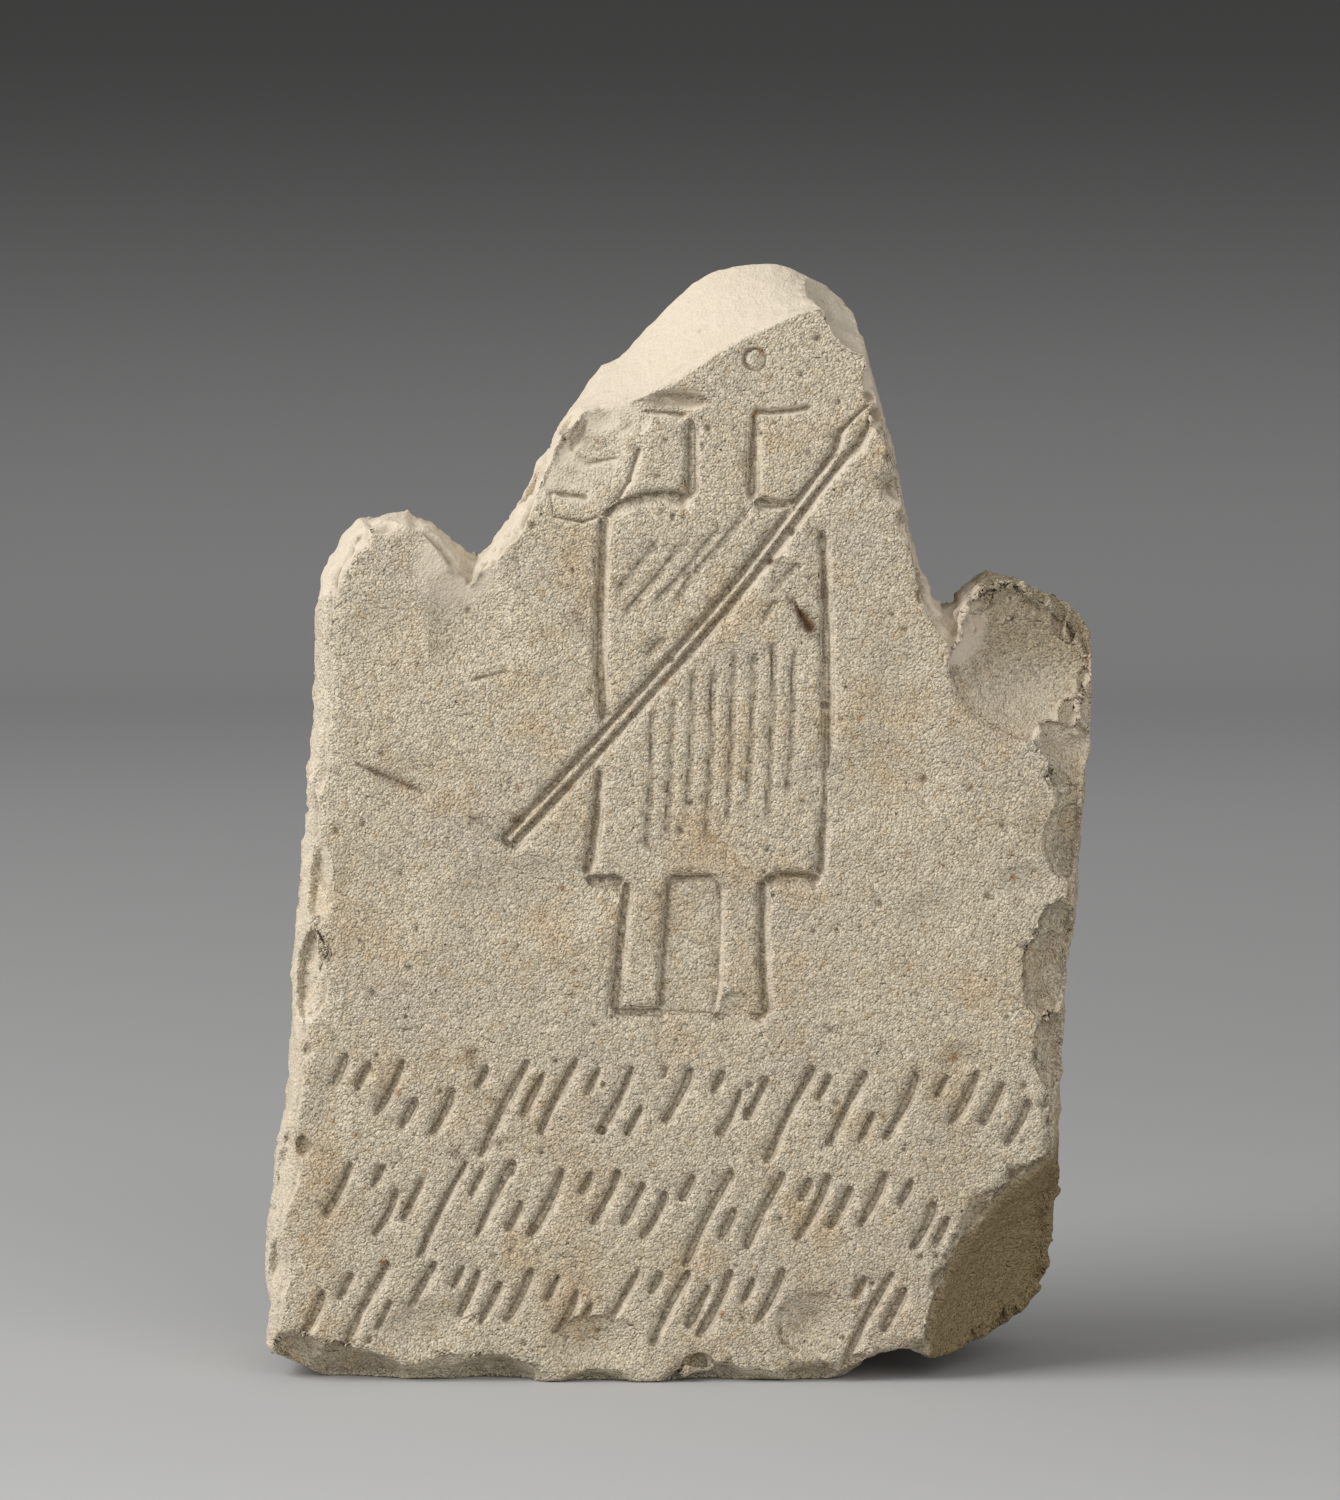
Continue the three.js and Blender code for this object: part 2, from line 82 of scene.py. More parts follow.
# lengths in stoneSurface are millimetres; x runs across the face and z up it
stoneSurface = {
    "voxel": 0.43,  # fine enough to keep the chisel cuts
    "mostTriangles": 196000,
    # areas of the face: their middle, then their radii across and up
    "hornBreak": ((94, 178), (36, 30)),
    "hornShell": ((83.5, 177.0), (18.5, 21.5)),
    "cornerBreak": ((115, 0), (60, 66)),
    "headBreak": ((10, 256), (40, 26)),
    "leftDip": ((-50, 192), (24, 18)),
    "figure": (-64, 40, 60, 240),  # its box: least and most across, least and most up
    # wear
    "wearRounds": 24,  # rounds of smoothing behind a fully worn arris
    "wearPatch": 9,  # width of the patches that are worn alike
    "cutWear": 0.08,  # the share of that wear which the edges of the cuts take
    "lateWear": 0.2,  # and the share on the late breaks, which are still sharp
    "proudEnough": 0.32,  # an arris that stands out by this may be chipped
    # relief of the face, the breaks and the back
    "faceWave": 0.45,  # slow unevenness of the carved face
    "faceGrit": 0.06,  # half the height of the grains that the mesh carries
    "gritSize": 2.4,
    "shellStep": 1.3,  # the horn's broken shell lies below its rim by this
    "sideRise": 1.9,  # the broken sides stand out by this, less their hollows
    "cornerRise": 3.2,  # and the far side of the lost corner by this
    "breakHollows": 1.5,  # depth of the scoops that make up a break
    "hollowSizes": (13, 5),
    "breakGrit": 0.6,
    "toolMarks": 0.8,  # depth of the dressing marks behind
    "toolPitch": 8.5,
    "toolSlant": (0.62, 0.78),
    # pits and chips
    "pitCount": 190,
    "pitWidth": (0.6, 1.5),  # least and most radius
    "pitDepth": (0.3, 0.9),
    "smallChips": 260,
    "chipDepth": (0.3, 1.3),
    "chipBreadth": (4, 9),  # width of a chip in times its depth
    "biteUneven": 0.16,  # how far a chip's bed strays, as a share of its depth
    "snapReach": 18,  # a bite out of an edge moves to the proudest arris this near
    "scoops": [  # bites out of the face: x, z, width, height, depth
        (-15.0, 221.0, 10, 16, 0.6), (-19.5, 213.5, 12, 9, 0.6), (-26.5, 211.0, 13, 7, 0.5),
        (-23.0, 221.0, 15, 19, 0.6), (-27.5, 227.5, 9, 12, 0.5), (-1.5, 234.8, 14, 4.4, 1.1),
        (-19.5, 230.5, 11, 7, 0.5), (85.0, 119.0, 13, 10, 1.0), (88.0, 133.0, 10, 14, 0.8),
        (-51.5, 188.0, 9, 30, 1.6), (-78.0, 118.0, 12, 22, 0.9), (-45.0, 173.0, 20, 12, 1.1),
        (-51.5, 181.0, 13, 16, 0.8), (-68.0, 176.0, 17, 14, 0.6), (63.0, 108.0, 14, 12, 0.7),
        (69.0, 76.5, 11, 8, 0.9), (51.0, 131.0, 24, 17, 0.6), (-73.0, 108.0, 17, 24, 0.6),
        (-30.0, 100.0, 24, 12, 0.5), (55.0, 160.0, 16, 24, 0.6), (-64.0, 140.0, 16, 10, 0.6),
        (-84.0, 66.0, 11, 17, 0.9), (33.0, 12.0, 14, 12, 1.2), (-60.0, 8.0, 22, 13, 1.3),
        (-20.0, 6.0, 17, 10, 1.1), (15.0, 88.0, 9, 7, 0.6),
    ],
    "flakes": [  # shells struck off the face's plane: x, z, the tilt across and up, width, height, depth
        (83.0, 176.0, 0.12, 0.22, 38, 44, 5.0), (95.0, 155.5, 0.5, -0.55, 13, 17, 3.0),
        (93.0, 146.0, 0.5, 0.1, 13, 10, 1.6),
    ],
    "edgeBites": [  # bites out of the edges: x, y, z, the way out (x, y, z), width, depth
        (98, -30, 147, 0.7, -0.7, 0.1, 15, 2.6), (97, -32, 141, 0.6, -0.8, 0.2, 14, 2.8),
        (95, -33, 112, 0.7, -0.7, -0.1, 18, 3.2), (94, -31, 98, 0.7, -0.7, -0.2, 14, 3.2),
        (94, -31, 88, 0.8, -0.6, 0.1, 15, 3.4), (93, -33, 73, 0.5, -0.8, 0.0, 11, 2.0),
        (95, -30, 62, 0.8, -0.5, 0.2, 15, 2.4),
        (76, -20, 194, -0.3, -0.5, 0.8, 11, 1.6), (90, -16, 190, 0.5, -0.3, 0.8, 17, 2.0),
        (98, -18, 181, 0.8, -0.3, 0.5, 15, 2.2), (-16, -12, 248, -0.6, -0.3, 0.7, 8, 1.6),
        (-21, -20, 241, -0.7, -0.4, 0.5, 9, 1.8), (-25, -26, 234, -0.8, -0.5, 0.3, 9, 1.5),
        (-33, -24, 219, -0.9, -0.4, 0.2, 10, 1.6), (38, -26, 262, 0.6, -0.6, 0.6, 10, 1.6),
        (43, -28, 252, 0.8, -0.6, 0.2, 10, 1.8), (47, -30, 236, 0.8, -0.6, 0.1, 9, 1.0),
        (-97, -26, 48, -0.8, -0.6, 0.0, 22, 2.4), (-98, -28, 27, -0.8, -0.6, 0.1, 16, 2.0),
        (-93, -29, 79, -0.8, -0.6, 0.1, 14, 1.7), (-89, -31, 140, -0.8, -0.6, 0.1, 18, 1.6),
        (60, -30, 10, 0.2, -0.7, -0.7, 12, 1.5), (90, -10, 24, 0.9, -0.4, -0.2, 12, 1.0),
        (37, -18, 264, 0.55, 0.0, 0.83, 30, 3.6), (37, 14, 264, 0.55, 0.0, 0.83, 32, 3.6),
        (-88, -32, 4, 0.0, -0.5, -0.85, 22, 2.6), (-70, -32, 3, 0.0, -0.5, -0.85, 27, 2.8),
        (-47, -32, 3, 0.1, -0.5, -0.85, 19, 2.4), (-22, -33, 3, 0.0, -0.5, -0.85, 18, 2.2),
        (26, -33, 4, 0.0, -0.5, -0.85, 21, 2.6), (47, -32, 7, 0.1, -0.6, -0.8, 17, 2.4),
    ],
    "splits": [  # short thin cracks, and the creases of the scar: from, to, half width, depth
        (-48.5, 170.5, -41.5, 172.5, 0.8, 0.9), (-77, 150, -62, 143.5, 0.7, 0.5),
        (-66, 85.5, -61.5, 87, 0.6, 0.5), (28, 189, 29.4, 186.4, 0.5, 0.6),
        (29.4, 186, 31.7, 182.6, 1.1, 1.3), (-9.5, 225.4, -11.8, 218, 0.9, 0.9),
        (-11.8, 218, -16.4, 210.7, 0.9, 1.0), (-30.6, 215, -29.6, 209.5, 0.8, 0.8),
        (-29.6, 209.5, -23, 208.3, 0.8, 0.9), (-23, 208.3, -17, 210, 0.8, 0.9),
        (-22, 232, -25.5, 225.5, 0.8, 0.9), (-25.5, 225.5, -21, 222, 0.8, 0.8),
        (-21, 222, -14.5, 223.5, 0.8, 0.8), (-30.5, 215.2, -22, 214, 0.8, 0.8),
    ],
    "ring": (18.5, 247.0, 2.5, 0.75, 0.7),  # across, up, radius, half width, depth
    "shadeRounds": 12,  # rounds of smoothing that a cut's depth is measured from
    "shadeDepths": (0.05, 0.21),  # where the painted shade in the cuts starts and where it is full
    "seed": 11,
}


def cellValue(i, j, k, seed):
    # a random value from 0 to 1 for each cell of a grid, the same in every run
    n = (i * 73856093) ^ (j * 19349663) ^ (k * 83492791) ^ (seed * 2654435761)
    n = (n ^ (n >> 13)) * 1274126177
    n = n ^ (n >> 16)
    return (n & 0xFFFF) / 65535.0


def bumps(points, size, seed, octaves=1):
    # smooth random values from 0 to 1; size is the width of the largest bump
    total = np.zeros(len(points))
    weight = 0.0
    for octave in range(octaves):
        scaled = points / (size / 2**octave) + 17.3 * octave
        base = np.floor(scaled).astype(np.int64)
        part = scaled - base
        part = part * part * (3 - 2 * part)
        value = np.zeros(len(points))
        for corner in range(8):
            step = [(corner >> axis) & 1 for axis in range(3)]
            share = np.ones(len(points))
            for axis in range(3):
                share *= part[:, axis] if step[axis] else 1 - part[:, axis]
            value += share * cellValue(*(base[:, axis] + step[axis] for axis in range(3)), seed + octave)
        total += value * 0.55**octave
        weight += 0.55**octave
    return total / weight


def hollows(points, size, seed):
    # scoops that meet in sharp ridges, as on broken stone: 0 at a ridge, 1 in a scoop's middle
    scaled = points / size
    base = np.floor(scaled).astype(np.int64)
    nearest = np.full(len(points), 9.0)
    for step in np.ndindex(3, 3, 3):
        cell = base + np.array(step) - 1
        across = sum(
            (cell[:, axis] + cellValue(*cell.T, seed + axis) - scaled[:, axis]) ** 2 for axis in range(3)
        )
        nearest = np.minimum(nearest, across)
    return 1 - np.clip(nearest / 0.8, 0, 1)


def ramp(values, low, high):
    # 0 below low, 1 above high and an easy curve between
    part = np.clip((values - low) / (high - low), 0, 1)
    return part * part * (3 - 2 * part)


def readPoints(mesh):
    # the points in millimetres, and their normals
    points = np.zeros(len(mesh.vertices) * 3)
    mesh.vertices.foreach_get("co", points)
    normals = np.zeros(len(mesh.vertices) * 3)
    mesh.vertices.foreach_get("normal", normals)
    return points.reshape(-1, 3) * 1000, normals.reshape(-1, 3)


def writePoints(mesh, points):
    mesh.vertices.foreach_set("co", (points / 1000).ravel())
    mesh.update()


def addMark(mesh, name, values):
    layer = mesh.attributes.new(name, "FLOAT", "POINT")
    layer.data.foreach_set("value", np.clip(values, 0, 1).astype(np.float32))


def relaxed(mesh, points, rounds):
    # each point moves most of the way to the middle of its neighbours, some rounds over
    ends = np.zeros(len(mesh.edges) * 2, np.int32)
    mesh.edges.foreach_get("vertices", ends)
    first, second = ends[0::2], ends[1::2]
    count = np.bincount(ends, minlength=len(points))[:, None]
    for _ in range(rounds):
        near = np.stack([
            np.bincount(first, points[second, axis], len(points))
            + np.bincount(second, points[first, axis], len(points))
            for axis in range(3)
        ], axis=1)
        points = points * 0.4 + near / count * 0.6
    return points


def alongSegment(points, x1, z1, x2, z2):
    # distance on the face from a straight line between two places
    away = np.array([x2 - x1, z2 - z1])
    across, up = points[:, 0] - x1, points[:, 2] - z1
    share = np.clip((across * away[0] + up * away[1]) / (away @ away), 0, 1)
    return np.hypot(across - share * away[0], up - share * away[1])


def withModifier(piece, kind, **settings):
    # gives the piece the mesh that a modifier makes of it
    modifier = piece.modifiers.new(kind.lower(), kind)
    for name, value in settings.items():
        setattr(modifier, name, value)
    graph = bpy.context.evaluated_depsgraph_get()
    made = bpy.data.meshes.new_from_object(piece.evaluated_get(graph))
    piece.modifiers.remove(modifier)
    piece.data = made


def mergedCopy(node, name):
    shape = bmesh.new()
    shape.from_mesh(node.data)
    bmesh.ops.remove_doubles(shape, verts=shape.verts, dist=1e-6)
    mesh = bpy.data.meshes.new(name)
    shape.to_mesh(mesh)
    shape.free()
    piece = bpy.data.objects.new(name, mesh)
    bpy.context.scene.collection.objects.link(piece)
    return piece


def inside(points, middle, radii, edge=0.2):
    # 1 within an oval on the face, given by its middle and radii across and up, and 0 outside it
    far = ((points[:, 0] - middle[0]) / radii[0]) ** 2 + ((points[:, 2] - middle[1]) / radii[1]) ** 2
    return ramp(1 - far, 0, edge)


def isFace(points, normals):
    # 1 on the carved face itself and 0 in its cuts, on the sides and behind
    flat = ramp(-normals[:, 1], 0.75, 0.95)
    return flat * ramp(-points[:, 1], 31.5, 32.6)


def wearArrises(piece):
    # rounds the arrises unevenly and the cuts' edges a little; gives the places that stick out most
    mesh = piece.data
    points, normals = readPoints(mesh)
    soft = relaxed(mesh, points, 1)
    worn = relaxed(mesh, soft, stoneSurface["wearRounds"])
    proud = -((worn - soft) * normals).sum(axis=1)
    inCuts = ramp(-soft[:, 1], 31.0, 33.0) * ramp(0.5 - proud, 0, 0.2)
    amount = ramp(bumps(soft, stoneSurface["wearPatch"], 3, 2), 0.2, 0.7) * ramp(proud, 0.02, 0.2)
    amount *= 1 - (1 - stoneSurface["cutWear"]) * inCuts
    for late in ("hornBreak", "cornerBreak", "headBreak"):
        amount *= 1 - (1 - stoneSurface["lateWear"]) * inside(soft, *stoneSurface[late], 0.1)
    writePoints(mesh, soft + (worn - soft) * amount[:, None])
    left, right, low, high = stoneSurface["figure"]
    x, y, z = soft.T
    carved = (x > left) & (x < right) & (z > low) & (z < high) & (y < -30)
    return np.flatnonzero((proud > stoneSurface["proudEnough"]) & ~carved)


def bite(points, at, out, width, depth, height=None):
    # a ball of stone is taken off, depth at its middle and width across; height squeezes it
    squeeze = np.array([1.0, 1.0, width / (height or width)])
    out = np.array(out) / np.linalg.norm(out)
    radius = (width * width / 4 + depth * depth) / (2 * depth)
    middle = np.array(at) + out * (radius - depth)
    near = np.flatnonzero((np.abs((points - middle) * squeeze) < radius).all(axis=1))
    away = (points[near] - middle) * squeeze
    stray = stoneSurface["biteUneven"] * depth / radius
    uneven = 1 + stray * (bumps(points[near], 3.5, 31, 2) * 2 - 1)
    far = np.linalg.norm(away, axis=1)
    taken = far < radius * uneven
    grown = radius * uneven[taken] / far[taken]
    points[near[taken]] = middle + away[taken] * grown[:, None] / squeeze


def chipEdges(piece, proud):
    mesh = piece.data
    points, normals = readPoints(mesh)
    for x, z, width, height, depth in stoneSurface["scoops"]:
        # a scoop starts at the ground where it lies, which may be in a break
        here = (np.abs(points[:, 0] - x) < 1) & (np.abs(points[:, 2] - z) < 1) & (normals[:, 1] < -0.6)
        ground = np.median(points[here, 1]) if here.any() else lowCorner[1]
        bite(points, (x, ground, z), (0.03 * (x % 3 - 1), -1, 0.12), width, depth, height)
    for x, z, across, up, width, height, depth in stoneSurface["flakes"]:
        bite(points, (x, lowCorner[1], z), (across, -1, up), width, depth, height)
    for x, y, z, outX, outY, outZ, width, depth in stoneSurface["edgeBites"]:
        out = np.array((outX, outY, outZ)) / np.linalg.norm((outX, outY, outZ))
        near = proud[np.linalg.norm(points[proud] - (x, y, z), axis=1) < stoneSurface["snapReach"]]
        at = points[near[(points[near] @ out).argmax()]] if len(near) else np.array((x, y, z))
        bite(points, at, out, width, depth)
    dice = np.random.default_rng(stoneSurface["seed"])
    for index in dice.choice(proud, stoneSurface["smallChips"]):
        depth = dice.uniform(*stoneSurface["chipDepth"])
        out = normals[index] + dice.normal(0, 0.25, 3)
        bite(points, points[index], out, depth * dice.uniform(*stoneSurface["chipBreadth"]), depth)
    writePoints(mesh, np.clip(points, lowCorner, highCorner))


def sideRise(points, normals):
    # how far the broken sides stand out, before their hollows are taken off
    x, _, z = points.T
    sideways = ramp(np.abs(normals[:, 0]), 0.35, 0.75) * ramp(-z, -238, -228)
    sideways *= 1 - 0.6 * ramp(x, 0, 10) * ramp(z, 192, 200)  # less at the gable's right
    below = inside(points, *stoneSurface["cornerBreak"]) * ramp(normals[:, 0] - normals[:, 2], 0.8, 1.3)
    return np.maximum(stoneSurface["sideRise"] * sideways, stoneSurface["cornerRise"] * below)


def furrows(points):
    # slanting furrows in patches, from a flat chisel, over a slow unevenness
    across, up = stoneSurface["toolSlant"]
    slant = (points[:, 0] * across + points[:, 2] * up) / stoneSurface["toolPitch"]
    slant = slant + 1.4 * bumps(points, 40, 9)
    marks = np.abs(np.modf(slant + 40)[0] * 2 - 1) * ramp(bumps(points, 17, 10), 0.25, 0.6)
    return 0.55 * marks + 0.45 * bumps(points, 8, 12, 2)


def addLines(points, normals, sink):
    # the short cracks and creases, and the small ring; sink is changed in place, as in addPits
    x, y, z = points.T
    frontal = ramp(-y, 28, 30) * ramp(-normals[:, 1], 0.55, 0.85)
    for x1, z1, x2, z2, half, deep in stoneSurface["splits"]:
        off = alongSegment(points, x1, z1, x2, z2) + 0.8 * (bumps(points, 2.5, 14) - 0.5)
        sink += frontal * deep * ramp(-off, -half, 0)
    ringX, ringZ, ringRadius, half, deep = stoneSurface["ring"]
    sink += frontal * deep * ramp(-np.abs(np.hypot(x - ringX, z - ringZ) - ringRadius), -half, 0)


def addPits(points, sink):
    x, y, z = points.T
    dice = np.random.default_rng(stoneSurface["seed"] + 1)
    for _ in range(stoneSurface["pitCount"]):
        across, up = dice.uniform(-98, 98), dice.uniform(4, 266)
        wide, deep = dice.uniform(*stoneSurface["pitWidth"]), dice.uniform(*stoneSurface["pitDepth"])
        close = np.flatnonzero((np.abs(x - across) < wide) & (np.abs(z - up) < wide) & (y < 0))
        far = np.hypot(x[close] - across, z[close] - up) / wide
        sink[close] += deep * ramp(1 - far, 0, 0.8)


def roughen(piece):
    # sinks each point along its normal by what its part of the surface has lost
    mesh = piece.data
    points, normals = readPoints(mesh)
    _, y, z = points.T
    onFace = isFace(points, normals)
    onBack = ramp(y, 31.5, 33.5) * ramp(normals[:, 1], 0.8, 0.97)
    elsewhere = np.clip(1 - onFace - onBack, 0, 1)
    inCut = ramp(-y, 30.5, 32.0) * elsewhere * ramp(-normals[:, 1], 0.2, 0.5)
    smoothTop = ramp(z, 228, 236) * ramp(-y, 2, 12)  # the gable's head broke clean
    horn = inside(points, *stoneSurface["hornBreak"])
    dip = inside(points, *stoneSurface["leftDip"])
    corner = inside(points, *stoneSurface["cornerBreak"]) * elsewhere

    sink = onFace * stoneSurface["faceWave"] * (0.7 * bumps(points, 26, 5, 2) + 0.3 * bumps(points, 7, 6, 2))
    grit = bumps(points, stoneSurface["gritSize"], 8, 2)
    sink += (onFace + 0.6 * inCut) * stoneSurface["faceGrit"] * 2 * ramp(grit, 0.25, 0.75)

    rough = np.flatnonzero(elsewhere > 0.02)
    large, small = stoneSurface["hollowSizes"]
    broken = np.zeros(len(points))
    broken[rough] = 0.65 * hollows(points[rough], large, 7) + 0.35 * hollows(points[rough], small, 17)
    calm = np.clip(1 - 0.8 * smoothTop - 0.6 * corner - 0.7 * inCut - 0.6 * horn - 0.7 * dip, 0, 1)
    sink += elsewhere * calm * stoneSurface["breakHollows"] * broken
    sink += elsewhere * (1 - 0.5 * smoothTop) * (1 - inCut) * stoneSurface["breakGrit"] * (2 * grit - 0.3)
    sink -= elsewhere * ramp(y, -32.4, -30.5) * sideRise(points, normals)
    shell = inside(points, *stoneSurface["hornShell"], 0.07) * ramp(-y, 5, 15)
    sink += stoneSurface["shellStep"] * shell * ramp(-normals[:, 1], 0.3, 0.6)

    sink += onBack * stoneSurface["toolMarks"] * furrows(points)
    addLines(points, normals, sink)
    addPits(points, sink)
    foot = ramp(-normals[:, 2], 0.6, 0.9) * ramp(-z, -2.5, -0.3)
    sink *= 1 - 0.85 * foot  # the foot stays nearly flat
    writePoints(mesh, np.clip(points - normals * sink[:, None], lowCorner, highCorner))


def markCuts(piece):
    # painted shade darkens the cuts and hollows; it is taken from the even mesh, where hollows of one size
    # read alike
    mesh = piece.data
    points, normals = readPoints(mesh)
    hollowShade = ((relaxed(mesh, points, stoneSurface["shadeRounds"]) - points) * normals).sum(axis=1)
    inFront = ramp(-points[:, 1], 29, 31.5) * ramp(-normals[:, 1], 0, 0.4)
    shadeKept = 1 - 0.85 * inside(points, *stoneSurface["hornBreak"])  # the horn's break gets little of the painted shade
    addMark(mesh, "hollowShade", ramp(hollowShade, *stoneSurface["shadeDepths"]) * inFront * shadeKept)


def thinned(piece):
    # the even mesh gives way to one that keeps its points where the surface bends;
    # each face of the even mesh is two triangles
    ratio = min(1.0, stoneSurface["mostTriangles"] / 2 / len(piece.data.polygons))
    withModifier(piece, "DECIMATE", ratio=ratio)
    points = readPoints(piece.data)[0]
    writePoints(piece.data, np.clip(points, lowCorner, highCorner))


def makeStele():
    piece = mergedCopy(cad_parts["stele"], "steleStone")
    voxel = stoneSurface["voxel"] * 1
    withModifier(piece, "REMESH", mode="VOXEL", voxel_size=voxel / 1000, use_smooth_shade=True)
    print("stone remeshed:", len(piece.data.vertices), "points")
    proud = wearArrises(piece)
    print("arrises worn, places that stand proud:", len(proud))
    chipEdges(piece, proud)
    print("edges chipped")
    roughen(piece)
    markCuts(piece)
    thinned(piece)
    print("stone finished:", len(piece.data.polygons), "faces")
    return piece


stele = makeStele()

stoneMarks = {
    "stains": [  # from, to, width, strength; rust brown at 1, ochre at less
        (26.8, 189.8, 29.2, 187.4, 0.9, 0.75), (29.2, 186.6, 31.7, 182.8, 1.8, 1.0),
        (30.4, 197, 31.4, 193.5, 0.9, 0.5), (-50.0, 80.9, -49.4, 80.2, 1.7, 0.9),
        (-53.4, 56.4, -53.2, 55.8, 1.5, 0.75), (-43.8, 58.6, -43.0, 58.4, 1.2, 0.7),
        (-76.2, 149.8, -61.8, 143.8, 1.4, 0.45), (-39, 136.6, -38.6, 136.2, 1.3, 0.6),
        (22.2, 199, 22.6, 198.6, 1.3, 0.7), (34.2, 191.8, 34.4, 190.6, 1.4, 0.6),
        (-11, 136.8, -10.8, 136.4, 1.0, 0.5), (-24, 186, -23.5, 184, 1.0, 0.4),
    ],
    # pale areas of the face: their middle, radii across and up, and how soft their edge is
    "scar": ((-29, 222), (21, 14), 0.35),
    "notch": ((66, 184), (10, 12), 0.5),
    "lip": ((-53, 196), (13, 11), 0.7),
    # how pale each place is, from 0 for the weathered face to 1 for a fresh break; the horn break's lower
    # part is painted light, and the left arris is partly painted light
    "dipsPale": 0.85,
    "leftArrisPaleAndLit": 0.6,
    "scarPale": 0.28,
    "rimPale": 0.5,
    "hornLowerLight": 0.45,
    # and how brown the breaks are: the lost corner's browner tone, and painted shade on the horn break's
    # upper part
    "hornUpperShade": 0.4,
    "cornerEarthy": 0.95,
}


def markStone(piece):
    # three marks for the colours: a pale one for paler stone and painted light, a brown one for browner
    # stone and painted shade, and stain for rust
    marks = stoneMarks
    mesh = piece.data
    points, normals = readPoints(mesh)
    x, y, z = points.T
    onFace = isFace(points, normals)
    patch = bumps(points, 16, 21, 3)
    front = ramp(-y, -20, 4)
    head = ramp(z, 229, 236) * (1 - onFace)  # the gable's clean break
    dips = ramp(z, 186, 196) * ramp(75 - x, 0, 6) * ramp(normals[:, 2], -0.1, 0.35) * (1 - onFace)
    # the left arris is paler: worn pale stone, and painted light on the side that faces the key lamp
    leftArris = ramp(-normals[:, 0], 0.15, 0.5) * ramp(-y, 16, 26)
    scar = inside(points, *marks["scar"]) * ramp(y, -33.6, -33.0)
    notch = inside(points, *marks["notch"]) * (1 - onFace)
    lip = inside(points, *marks["lip"])
    rim = ramp(z, 196, 209) * ramp(-x, 52, 62) * ramp(-y, 30, 34)
    horn = inside(points, *stoneSurface["hornBreak"])
    paleAndLit = head + marks["dipsPale"] * dips + marks["leftArrisPaleAndLit"] * leftArris + marks["scarPale"] * scar
    paleAndLit += notch + marks["rimPale"] * rim
    # painted light: the horn break's lower part, which faces up towards the lamp, is made paler
    paleAndLit += lip + marks["hornLowerLight"] * horn * ramp(-z, -178, -166) * (1 - onFace)
    addMark(mesh, "paleAndLit", paleAndLit * front * (0.55 + 0.9 * patch))
    corner = inside(points, *stoneSurface["cornerBreak"]) * (1 - onFace)
    # painted shade: the horn break's upper part, which faces down away from the lamp, is made darker and
    # browner
    brownAndShade = marks["hornUpperShade"] * horn * (1 - onFace) * ramp(z, 164, 180)
    addMark(mesh, "brownAndShade", (brownAndShade + marks["cornerEarthy"] * corner) * front)
    stain = np.zeros(len(points))
    for x1, z1, x2, z2, wide, strong in marks["stains"]:
        off = alongSegment(points, x1, z1, x2, z2) + 2.0 * (bumps(points, 2.4, 22, 2) - 0.5)
        stain = np.maximum(stain, strong * ramp(-off / wide, -1.3, -0.2))
    addMark(mesh, "stain", stain * front)


markStone(stele)
print("colour marks laid")


def colour(code):
    # from a web colour to the linear values that the renderer works in
    parts = [int(code[i : i + 2], 16) / 255 for i in (1, 3, 5)]
    return (*[c / 12.92 if c <= 0.04045 else ((c + 0.055) / 1.055) ** 2.4 for c in parts], 1.0)


def perMm(size):
    return 1000.0 / size  # a texture's scale for a feature of that many millimetres


def addNode(tree, kind, inputs=None, output=0, **settings):
    # adds a shader node, sets it, links what is handed in and gives its output
    node = tree.nodes.new("ShaderNode" + kind)
    for name, value in settings.items():
        setattr(node, name, value)
    for name, value in (inputs or {}).items():
        if isinstance(value, bpy.types.NodeSocket):
            tree.links.new(value, node.inputs[name])
        else:
            node.inputs[name].default_value = value
    return node.outputs[output]


